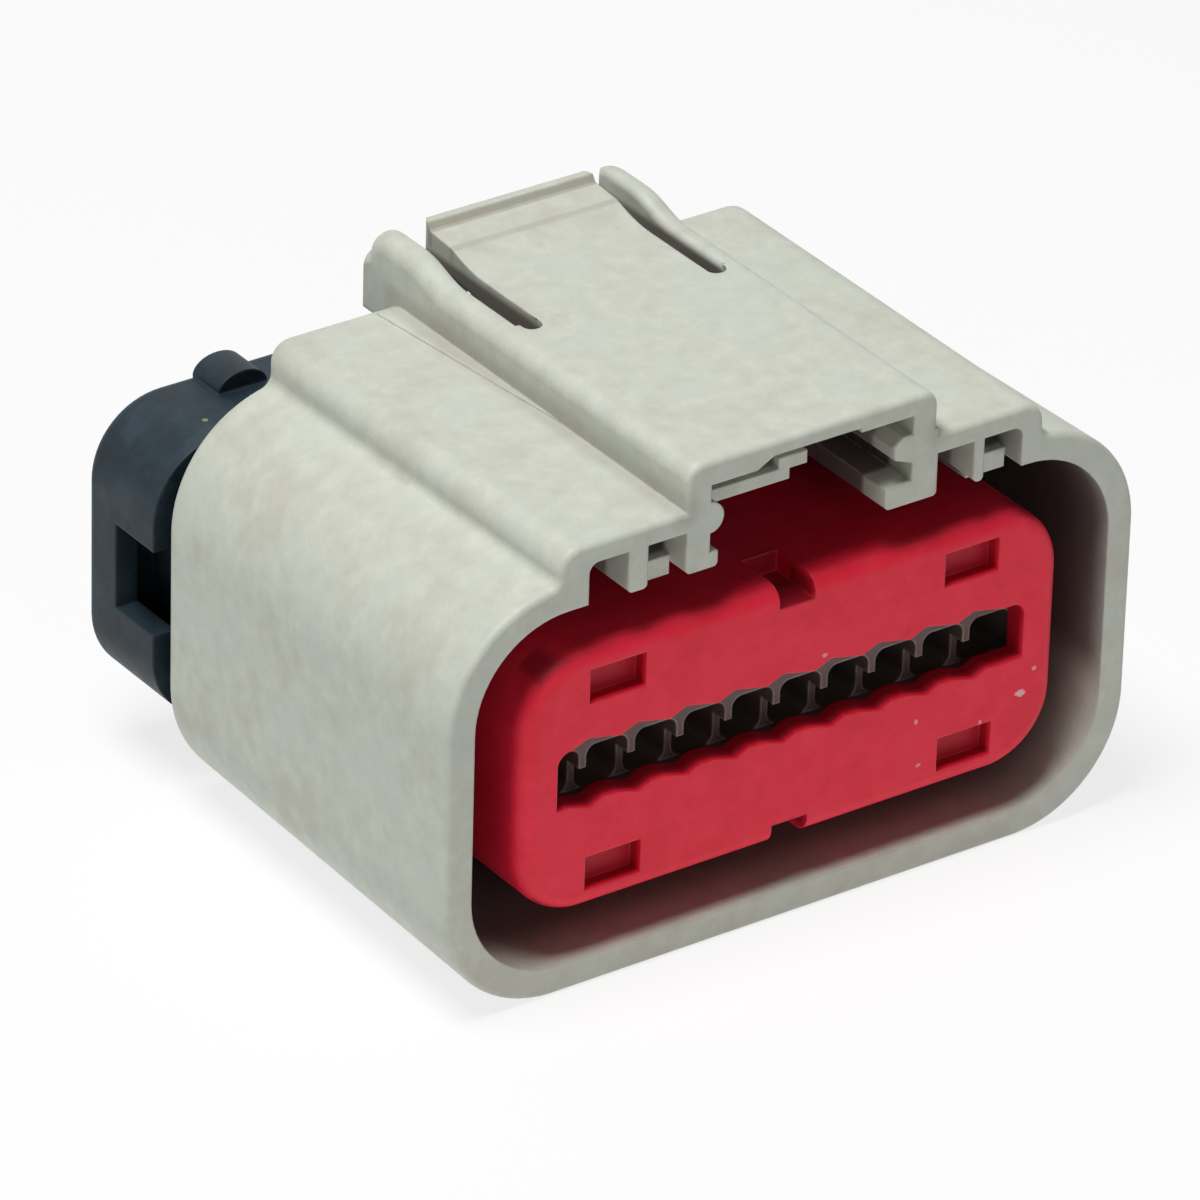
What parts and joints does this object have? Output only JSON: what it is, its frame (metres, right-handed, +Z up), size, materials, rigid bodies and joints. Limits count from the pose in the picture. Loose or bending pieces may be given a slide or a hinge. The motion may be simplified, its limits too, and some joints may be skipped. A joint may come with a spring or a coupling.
{
  "type": "sealed rectangular wire connector",
  "caption": "Sealed rectangular wire-to-wire connector housing with a wide shroud, sliding front terminal lock, top press latch between guards and a rear wire cover.",
  "frame": {"origin": "centre of the bounding box's base, on the flat underside of the housing", "axes": "+X along the long side of the mating face, -Y out of the mating face, +Z up through the latch"},
  "size_m": [0.0498, 0.0398, 0.0342],
  "materials": {
    "housing_plastic": "light warm grey moulded plastic, finely grained",
    "lock_plastic": "bright red moulded plastic with pale chips on its edges",
    "seal_rubber": "dark silicone rubber",
    "cover_plastic": "dark slate moulded plastic, soft sheen",
    "contact_metal": "tin-plated copper alloy sheet"
  },
  "bodies": {
    "connector": {"housing": "housing_plastic", "interface_seal": "seal_rubber", "wire_seal": "seal_rubber", "rear_cover": "cover_plastic", "contact_01": "contact_metal", "contact_02": "contact_metal", "contact_03": "contact_metal", "contact_04": "contact_metal", "contact_05": "contact_metal", "contact_06": "contact_metal", "contact_07": "contact_metal", "contact_08": "contact_metal", "contact_09": "contact_metal", "contact_10": "contact_metal", "contact_11": "contact_metal", "contact_12": "contact_metal", "contact_13": "contact_metal", "contact_14": "contact_metal", "contact_15": "contact_metal", "contact_16": "contact_metal", "contact_17": "contact_metal", "contact_18": "contact_metal", "contact_19": "contact_metal", "contact_20": "contact_metal"},
    "latch": {"release_latch": "housing_plastic"},
    "lock": {"terminal_lock": "lock_plastic"}
  },
  "joints": [
    {"name": "latch_press", "type": "hinge", "parent": "connector", "child": "latch", "pos_m": [0.0007, 0.00025, 0.0321], "axis": [-1, 0, 0], "range_deg": [0, 6], "stiffness_Nm_per_rad": 2.2},
    {"name": "lock_slide", "type": "slide", "parent": "connector", "child": "lock", "axis": [0, -1, 0], "range_m": [0, 0.002]}
  ]
}
